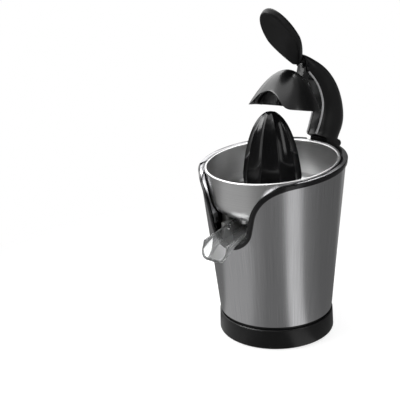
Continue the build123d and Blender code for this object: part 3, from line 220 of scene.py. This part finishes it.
metal("shell_steel", (0.5, 0.5, 0.51), (0.62, 0.62, 0.63),
      rough=0.24, across=2200.0, along=14.0, turned=0.0, bump=0.12)
metal("bowl_steel", (0.62, 0.62, 0.62), (0.72, 0.72, 0.72),
      rough=0.3, across=2600.0, along=6.0, turned=1.0, bump=0.1)
metal("collar_steel", (0.34, 0.34, 0.35), (0.42, 0.42, 0.43),
      rough=0.15, across=2600.0, along=6.0, turned=1.0, bump=0.05)
metal("zinc_steel", (0.5, 0.5, 0.52), (0.62, 0.62, 0.64),
      rough=0.32, across=900.0, along=200.0, turned=0.0, bump=0.1)
metal("copper_wire", (0.45, 0.17, 0.06), (0.68, 0.3, 0.12),
      rough=0.35, across=1500.0, along=4.0, turned=1.0, bump=0.6)
metal("core_iron", (0.1, 0.1, 0.105), (0.22, 0.22, 0.23),
      rough=0.45, across=2000.0, along=4.0, turned=1.0, bump=0.6)
metal("bronze", (0.4, 0.26, 0.1), (0.52, 0.36, 0.16),
      rough=0.4, across=900.0, along=300.0, turned=0.0, bump=0.15)
metal("oxide_steel", (0.02, 0.02, 0.022), (0.045, 0.045, 0.05),
      rough=0.4, across=900.0, along=200.0, turned=0.0, bump=0.1)
moulding("satin_black", (0.003, 0.003, 0.0033), (0.006, 0.006, 0.0064),
         rough=0.3, grain_size=1500.0, bump=0.08, specular=0.4)
moulding("cup_black", (0.004, 0.004, 0.0043), (0.007, 0.007, 0.0075),
         rough=0.24, grain_size=1500.0, bump=0.08, specular=0.6)
moulding("palm_black", (0.005, 0.005, 0.0055), (0.009, 0.009, 0.0095),
         rough=0.42, grain_size=1500.0, bump=0.12, specular=0.3)
moulding("gloss_black", (0.003, 0.003, 0.0035), (0.005, 0.005, 0.0055),
         rough=0.14, grain_size=300.0, bump=0.02, specular=0.5)
moulding("pale_plastic", (0.42, 0.42, 0.41), (0.5, 0.5, 0.49),
         rough=0.45, grain_size=1100.0, bump=0.1, specular=0.5)
# A pale grey for the tube on the arm's inner edges: a painted highlight for the light those edges catch.
moulding("edge_highlight_grey", (0.55, 0.55, 0.56), (0.64, 0.64, 0.65),
         rough=0.3, grain_size=1100.0, bump=0.05, specular=0.5)
moulding("dark_plastic", (0.02, 0.02, 0.022), (0.032, 0.032, 0.034),
         rough=0.55, grain_size=1100.0, bump=0.2, specular=0.4)
moulding("white_plastic", (0.72, 0.71, 0.66), (0.8, 0.79, 0.75),
         rough=0.5, grain_size=1100.0, bump=0.1, specular=0.5)
moulding("rubber", (0.012, 0.012, 0.013), (0.02, 0.02, 0.021),
         rough=0.75, grain_size=1600.0, bump=0.3, specular=0.3)
print(len(finishes), "finishes")

# %% Clear plastic of the spout
tree, shader = blank_material("clear_plastic")
shader.inputs["Base Color"].default_value = (0.93, 0.94, 0.94, 1.0)
shader.inputs["Transmission Weight"].default_value = 0.92
shader.inputs["IOR"].default_value = 1.46
skin = put(tree, "ShaderNodeGroup", {"node_tree": skin_group}, Grain=400.0)
tree.links.new(spread(tree, skin.outputs["Patch"], 0.02, 0.06), shader.inputs["Roughness"])
print("spout is clear, IOR", shader.inputs["IOR"].default_value)

# %% [markdown]
# ## Rounded copies of the visible solids
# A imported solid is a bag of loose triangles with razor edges. For each piece that shows, a copy is welded,
# its flat faces are merged, its sharp edges get a small bevel, and the rest is shaded smooth. The copy
# stands for the solid, which stays in the simulation.

# %% Helper that welds, bevels and smooths a copy
weld_distance = 2e-6
flat_angle = math.radians(0.5)
sharp_angle = math.radians(32.0)


def rounded(node, finish, width):
    """A welded copy of a node with rounded edges; width is in millimetres."""
    mesh = nodes[node].data.copy()
    mesh.materials.clear()
    mesh.materials.append(finishes[finish])
    shape = bmesh.new()
    shape.from_mesh(mesh)
    bmesh.ops.remove_doubles(shape, verts=shape.verts, dist=weld_distance)
    bmesh.ops.dissolve_limit(shape, angle_limit=flat_angle, verts=shape.verts, edges=shape.edges)
    shape.to_mesh(mesh)
    shape.free()
    piece = bpy.data.objects.new(node + "_dressed", mesh)
    bpy.context.scene.collection.objects.link(piece)
    if width:
        bevel = piece.modifiers.new("edge", "BEVEL")
        bevel.width = width / 1000
        bevel.segments = 2
        bevel.limit_method = "ANGLE"
        bevel.angle_limit = sharp_angle
        bevel.use_clamp_overlap = True
        ready = piece.evaluated_get(bpy.context.evaluated_depsgraph_get())
        made = bpy.data.meshes.new_from_object(ready)
        piece.modifiers.clear()
        piece.data = made
    piece.data.shade_smooth()
    piece.data.set_sharp_from_angle(angle=sharp_angle)
    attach(piece, body_of[node])
    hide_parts(node)
    return piece


print("ready to round edges")

# %% [markdown]
# ## Finishes for all the solids
# The slots of the record say what each piece is made of. A few pieces get a finish of their own: the bowl
# and the strainer were turned, the cup's pin was blackened, the support under the bowl is pale, and the cup
# and the palm rest are a glossier and a duller black than the arm.

# %% Finishes for the solids as they are
plain_finish = {
    "satin_black": "satin_black",
    "gloss_black": "gloss_black",
    "dark_plastic": "dark_plastic",
    "white_plastic": "white_plastic",
    "clear_plastic": "clear_plastic",
    "brushed_steel": "shell_steel",
    "polished_steel": "collar_steel",
    "zinc_steel": "zinc_steel",
    "core_iron": "core_iron",
    "copper_wire": "copper_wire",
    "bronze": "bronze",
    "rubber": "rubber",
}
own_finish = {
    "juice_bowl": "bowl_steel",
    "strainer": "bowl_steel",
    "cup_pin": "oxide_steel",
    "bowl_support": "pale_plastic",
    "press_cup": "cup_black",
    "palm_rest": "palm_black",
}
finish_of = {node: own_finish.get(node, plain_finish[slot_of[node]]) for node in nodes}
for node, solid in nodes.items():
    solid.data.materials.clear()
    solid.data.materials.append(finishes[finish_of[node]])
print("every solid has a finish")

# %% Rounded copies
edge_widths = {
    "base_ring": 0.9,
    "edge_trim": 1.2,
    "collar_left": 0.4,
    "collar_right": 0.4,
    "notch_liner": 0.2,
    "juice_bowl": 0.0,
    "outer_shell": 0.0,
    "strainer": 0.2,
    "reamer_cone": 0.4,
    "press_cup": 0.5,
    "lever_arm": 0.9,
    "palm_rest": 0.0,
    "hinge_bracket": 0.6,
    "spout": 0.4,
    "cord_gland": 0.0,
}
dressed = [rounded(node, finish_of[node], width) for node, width in edge_widths.items()]
print(len(dressed), "rounded copies,", sum(len(piece.data.polygons) for piece in dressed), "faces")

# %% [markdown]
# ## The return spring
# The spring stands on the gear deck and carries the thrust cup, which comes lower by the joint's travel when
# the reamer is pressed down.
# The spring gets a rounded copy with a mesh of its own.

# %% Return spring
spring = rounded("return_spring", finish_of["return_spring"], 0.0)
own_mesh(spring)

# %% [markdown]
# ## A painted highlight along the arm
# A pale grey tube runs down both inner edges of the arm: a painted highlight that stands in for the light
# caught on those edges.
# A small Geometry Nodes tree draws a tube along any chain of edges: the chain becomes a curve, and a circle
# is swept along it.

# %% Geometry Nodes tree for a tube along a chain
def tube_tree():
    """Tree with the inputs Geometry, Radius and Material that turns edges into a round tube."""
    tree = bpy.data.node_groups.new("edge_tube", "GeometryNodeTree")
    tree.interface.new_socket("Geometry", in_out="INPUT", socket_type="NodeSocketGeometry")
    tree.interface.new_socket("Radius", in_out="INPUT", socket_type="NodeSocketFloat")
    tree.interface.new_socket("Material", in_out="INPUT", socket_type="NodeSocketMaterial")
    tree.interface.new_socket("Geometry", in_out="OUTPUT", socket_type="NodeSocketGeometry")
    given = tree.nodes.new("NodeGroupInput")
    chain = put(tree, "GeometryNodeMeshToCurve", Mesh=given.outputs["Geometry"])
    ring = put(tree, "GeometryNodeCurvePrimitiveCircle", Resolution=10, Radius=given.outputs["Radius"])
    tube = put(
        tree, "GeometryNodeCurveToMesh",
        Curve=chain.outputs[0], Profile_Curve=ring.outputs[0], Fill_Caps=True,
    )
    smooth = put(tree, "GeometryNodeSetShadeSmooth", Geometry=tube.outputs[0])
    real = put(tree, "GeometryNodeRealizeInstances", Geometry=smooth.outputs[0])
    painted = put(
        tree, "GeometryNodeSetMaterial", Geometry=real.outputs[0], Material=given.outputs["Material"]
    )
    tree.links.new(painted.outputs[0], tree.nodes.new("NodeGroupOutput").inputs[0])
    return tree


def made_by(tree, piece, values):
    """Give a piece the mesh that a Geometry Nodes tree makes of it, with named inputs set first."""
    step = piece.modifiers.new(tree.name, "NODES")
    step.node_group = tree
    for socket in tree.interface.items_tree:
        if socket.in_out == "INPUT" and socket.name in values:
            step[socket.identifier] = values[socket.name]
    ready = piece.evaluated_get(bpy.context.evaluated_depsgraph_get())
    mesh = bpy.data.meshes.new_from_object(ready)
    piece.modifiers.clear()
    piece.data = mesh


edge_tube = tube_tree()
print("tree", edge_tube.name, "with", len(edge_tube.nodes), "nodes")

# %% Painted highlight on both inner edges of the arm
line_radius = 0.0011
points_per_station = 8
line_stations = (
    (0.0065, 0.0610, 0.2887),
    (0.00675, 0.0736, 0.2762),
    (0.0070, 0.0815, 0.2638),
    (0.0070, 0.0862, 0.2500),
    (0.0070, 0.0850, 0.2385),
    (0.0070, 0.0795, 0.2255),
    (0.0065, 0.0734, 0.2148),
)


def smooth_chain(points, steps):
    """A smooth run of points through the given points."""
    run = []
    last = len(points) - 1
    for index in range(last):
        before, start, end, after = (
            Vector(points[max(0, min(last, index + shift))]) for shift in (-1, 0, 1, 2)
        )
        for step in range(steps):
            t = step / steps
            run.append(
                start
                + (end - before) * (t / 2)
                + (before * 2 - start * 5 + end * 4 - after) * (t * t / 2)
                + (start * 3 - before - end * 3 + after) * (t * t * t / 2)
            )
    return run + [Vector(points[last])]


chain_points = []
chain_edges = []
for side in (-1, 1):
    run = smooth_chain([(side * x, y, z) for x, y, z in line_stations], points_per_station)
    first = len(chain_points)
    chain_points += run
    chain_edges += [(first + place, first + place + 1) for place in range(len(run) - 1)]
chain = bpy.data.meshes.new("arm_edge_highlight")
chain.from_pydata(chain_points, chain_edges, [])
arm_edge_highlight = bpy.data.objects.new("arm_edge_highlight", chain)
bpy.context.scene.collection.objects.link(arm_edge_highlight)
# The tube is painted pale grey as a highlight on the arm's inner edges.
made_by(edge_tube, arm_edge_highlight, {"Radius": line_radius, "Material": finishes["edge_highlight_grey"]})
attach(arm_edge_highlight, "arm")
print("arm line with", len(arm_edge_highlight.data.polygons), "faces")

# %% [markdown]
# ## Camera
# The camera stands in front and to the right, a little above the rim, and rolls slightly. It was found by
# fitting the base, the rim and the shell's sides to the picture.

# %% Camera
eye = Vector((0.53882, -0.64369, 0.43555))
yaw = math.radians(45.5256)
pitch = math.radians(18.3528)
roll = math.radians(-3.4642)
backward = Vector((math.sin(yaw) * math.cos(pitch), -math.cos(yaw) * math.cos(pitch), math.sin(pitch)))
level_right = Vector((math.cos(yaw), math.sin(yaw), 0.0))
level_up = backward.cross(level_right)
right = level_right * math.cos(roll) + level_up * math.sin(roll)
up = level_up * math.cos(roll) - level_right * math.sin(roll)
camera_data = bpy.data.cameras.new("studio_camera")
camera_data.lens = 70.578
camera_data.sensor_width = 36.0
camera_data.clip_start = 0.01
camera = bpy.data.objects.new("studio_camera", camera_data)
camera.matrix_world = Matrix((
    (right.x, up.x, backward.x, eye.x),
    (right.y, up.y, backward.y, eye.y),
    (right.z, up.z, backward.z, eye.z),
    (0.0, 0.0, 0.0, 1.0),
))
bpy.context.scene.collection.objects.link(camera)
bpy.context.scene.camera = camera
bpy.context.scene.view_settings.view_transform = "Standard"
print("camera at", [round(v, 3) for v in eye])

# %% [markdown]
# ## Floor and world
# The floor is pale and catches the shadow. Seen directly, or in a mirror or through glass, floor and world
# are white; for soft light they are only a plain grey, so that the colours of the press stay as written.
# Away from the press the floor fades into plain white, so that no horizon shows.

# %% Floor and world
def shown(tree):
    """1 for rays that come from the eye, a mirror or glass, and 0 for soft light."""
    path = tree.nodes.new("ShaderNodeLightPath")
    total = math_node(tree, "ADD", path.outputs["Is Camera Ray"], path.outputs["Is Glossy Ray"])
    total = math_node(tree, "ADD", total, path.outputs["Is Transmission Ray"])
    return math_node(tree, "MINIMUM", total, 1.0)


def stage_piece(name, points, faces):
    """A piece of the studio with an empty material; gives the object and the tree."""
    mesh = bpy.data.meshes.new(name)
    mesh.from_pydata(points, [], faces)
    plane = bpy.data.objects.new(name, mesh)
    bpy.context.scene.collection.objects.link(plane)
    material = bpy.data.materials.new(name)
    material.use_nodes = True
    material.node_tree.nodes.clear()
    mesh.materials.append(material)
    return plane, material.node_tree


floor_half = 6.0
fade_start, fade_end = 0.16, 0.5
corners = [(x * floor_half, y * floor_half, 0.0) for x, y in ((-1, -1), (1, -1), (1, 1), (-1, 1))]
floor, tree = stage_piece("studio_floor", corners, [(0, 1, 2, 3)])
matte = put(tree, "ShaderNodeBsdfDiffuse", Color=(0.55, 0.55, 0.55, 1.0))
glow = put(tree, "ShaderNodeEmission", Color=(1.0, 1.0, 1.0, 1.0), Strength=0.7)
white = put(tree, "ShaderNodeEmission", Color=(1.0, 1.0, 1.0, 1.0), Strength=1.0)
near = put(tree, "ShaderNodeAddShader", i0=matte.outputs[0], i1=glow.outputs[0])
spot = put(tree, "ShaderNodeTexCoord").outputs["Object"]
reach = put(tree, "ShaderNodeVectorMath", {"operation": "LENGTH"}, i0=spot).outputs["Value"]
smooth = {"interpolation_type": "SMOOTHSTEP"}
fade = put(tree, "ShaderNodeMapRange", smooth, Value=reach, From_Min=fade_start, From_Max=fade_end)
seen = put(tree, "ShaderNodeMixShader", i0=fade.outputs[0], i1=near.outputs[0], i2=white.outputs[0])
chosen = put(tree, "ShaderNodeMixShader", i0=shown(tree), i1=matte.outputs[0], i2=seen.outputs[0])
tree.links.new(chosen.outputs[0], tree.nodes.new("ShaderNodeOutputMaterial").inputs["Surface"])

world = bpy.data.worlds.new("studio_world")
bpy.context.scene.world = world
world.use_nodes = True
tree = world.node_tree
tree.nodes.clear()
soft = put(tree, "ShaderNodeBackground", Color=(0.5, 0.5, 0.5, 1.0), Strength=0.9)
white = put(tree, "ShaderNodeBackground", Color=(1.0, 1.0, 1.0, 1.0), Strength=1.0)
chosen = put(tree, "ShaderNodeMixShader", i0=shown(tree), i1=soft.outputs[0], i2=white.outputs[0])
tree.links.new(chosen.outputs[0], tree.nodes.new("ShaderNodeOutputWorld").inputs["Surface"])
print(floor.name, "and", world.name, "are pale")

# %% [markdown]
# ## Cards for the steel and the black plastic to mirror
# The shell leans outwards, so it mirrors the table in front of it. A grey card lies there, with paler
# strips, to draw upright bands on the metal. More strips stand low round the set, and dark cloth hangs
# above them, so that black plastic stays black. A canopy over the cloth is bright on the left, for the
# gleam on the press cup, and a ceiling closes it. Only mirror rays see these cards, so they never show
# themselves.
#
# Each card is turned round the upright axis and has a grey for each bearing in degrees: -90 is the front, 0
# the right, 90 the back and 180 the left.

# %% Reflector cards
def reflector(name, profile, greys, strength=1.0):
    """A card turned through (radius, height) points, with a grey for each bearing."""
    turns = 72
    step = 2 * math.pi / turns
    points = [
        (radius * math.cos(turn * step), radius * math.sin(turn * step), height)
        for turn in range(turns)
        for radius, height in profile
    ]
    count = len(profile)
    faces = [
        (turn * count + place, (turn + 1) % turns * count + place,
         (turn + 1) % turns * count + place + 1, turn * count + place + 1)
        for turn in range(turns)
        for place in range(count - 1)
    ]
    card, tree = stage_piece(name, points, faces)
    for kind in ("camera", "diffuse", "transmission", "shadow"):
        setattr(card, "visible_" + kind, False)
    spot = put(tree, "ShaderNodeTexCoord").outputs["Object"]
    sides = put(tree, "ShaderNodeSeparateXYZ", Vector=spot)
    bearing = math_node(tree, "ARCTAN2", sides.outputs["Y"], sides.outputs["X"])
    share = put(tree, "ShaderNodeMapRange", Value=bearing, From_Min=-math.pi, From_Max=math.pi)
    ramp = put(tree, "ShaderNodeValToRGB", i0=share.outputs[0])
    ramp.color_ramp.interpolation = "EASE"
    stops = ramp.color_ramp.elements
    for angle, grey in greys:
        if angle == -180:
            stop = stops[0]
        elif angle == 180:
            stop = stops[-1]
        else:
            stop = stops.new((angle + 180) / 360)
        stop.color = (grey, grey, grey, 1.0)
    glow = put(tree, "ShaderNodeEmission", Color=ramp.outputs[0], Strength=strength)
    tree.links.new(glow.outputs[0], tree.nodes.new("ShaderNodeOutputMaterial").inputs["Surface"])


table_greys = (
    (-180, 0.18), (-152, 0.2), (-140, 0.46), (-92, 0.45), (-78, 0.28), (-62, 0.20), (-36, 0.20),
    (-27, 0.82), (-12, 0.76), (-2, 0.24), (12, 0.19), (30, 0.15), (62, 0.145), (80, 0.14), (92, 0.35),
    (102, 0.35), (116, 0.16), (150, 0.16), (180, 0.18),
)
strip_greys = (
    (-180, 0.3), (-166, 0.12), (-160, 0.9), (-152, 0.9), (-144, 0.1), (-40, 0.08), (22, 0.06),
    (32, 0.8), (42, 0.8), (50, 0.05), (58, 0.05), (66, 0.2), (74, 0.2), (84, 0.06), (128, 0.12),
    (140, 0.8), (180, 0.3),
)
cloth_greys = (
    (-180, 0.9), (-165, 0.9), (-150, 0.1), (-100, 0.03), (100, 0.02), (126, 0.08), (130, 0.2),
    (136, 0.9), (180, 0.9),
)
low_canopy_greys = (
    (-180, 1.0), (-145, 1.0), (-100, 0.2), (-60, 0.05), (60, 0.02), (90, 0.05), (115, 0.2),
    (140, 1.0), (180, 1.0),
)
high_canopy_greys = (
    (-180, 1.0), (-140, 1.0), (-100, 0.5), (-60, 0.15), (60, 0.1), (90, 0.15), (115, 0.4),
    (140, 1.0), (180, 1.0),
)
ceiling_greys = ((-180, 1.0), (180, 1.0))
table_middle = (0.0, 0.0004)
table_edge = (2.6, 0.0004)
cloth_foot = (2.6, 0.0)
strip_top = (2.6, 0.7)
cloth_top = (2.6, 1.9)
canopy_middle = (1.9, 2.3)
canopy_top = (1.2, 2.7)
ceiling_middle = (0.0, 2.7)
reflector("table_card", (table_middle, table_edge), table_greys)
reflector("strip_cloth", (cloth_foot, strip_top), strip_greys)
reflector("dark_cloth", (strip_top, cloth_top), cloth_greys, strength=2.2)
reflector("low_canopy", (cloth_top, canopy_middle), low_canopy_greys, strength=3.0)
reflector("high_canopy", (canopy_middle, canopy_top), high_canopy_greys, strength=3.0)
reflector("ceiling", (canopy_top, ceiling_middle), ceiling_greys, strength=1.6)
print("six cards to mirror")

# %% [markdown]
# ## Lamps
# One large soft box hangs high on the left, a weaker one stands on the right, and one hangs behind.

# %% Lamps
def soft_box(name, place, target, size, power):
    """A rectangular area lamp aimed at a point."""
    lamp = bpy.data.lights.new(name, "AREA")
    lamp.shape = "RECTANGLE"
    lamp.size, lamp.size_y = size
    lamp.energy = power
    holder = bpy.data.objects.new(name, lamp)
    holder.location = place
    holder.rotation_euler = (Vector(target) - Vector(place)).to_track_quat("-Z", "Y").to_euler()
    bpy.context.scene.collection.objects.link(holder)


middle = (0.0, 0.0, 0.18)
soft_box("key_box", (-0.7, -1.0, 1.3), middle, size=(0.9, 0.9), power=14.0)
soft_box("side_box", (1.3, 0.1, 0.8), middle, size=(0.4, 1.0), power=2.5)
soft_box("back_box", (-0.3, 0.9, 1.6), middle, size=(0.8, 0.5), power=6.0)
print("three soft boxes")
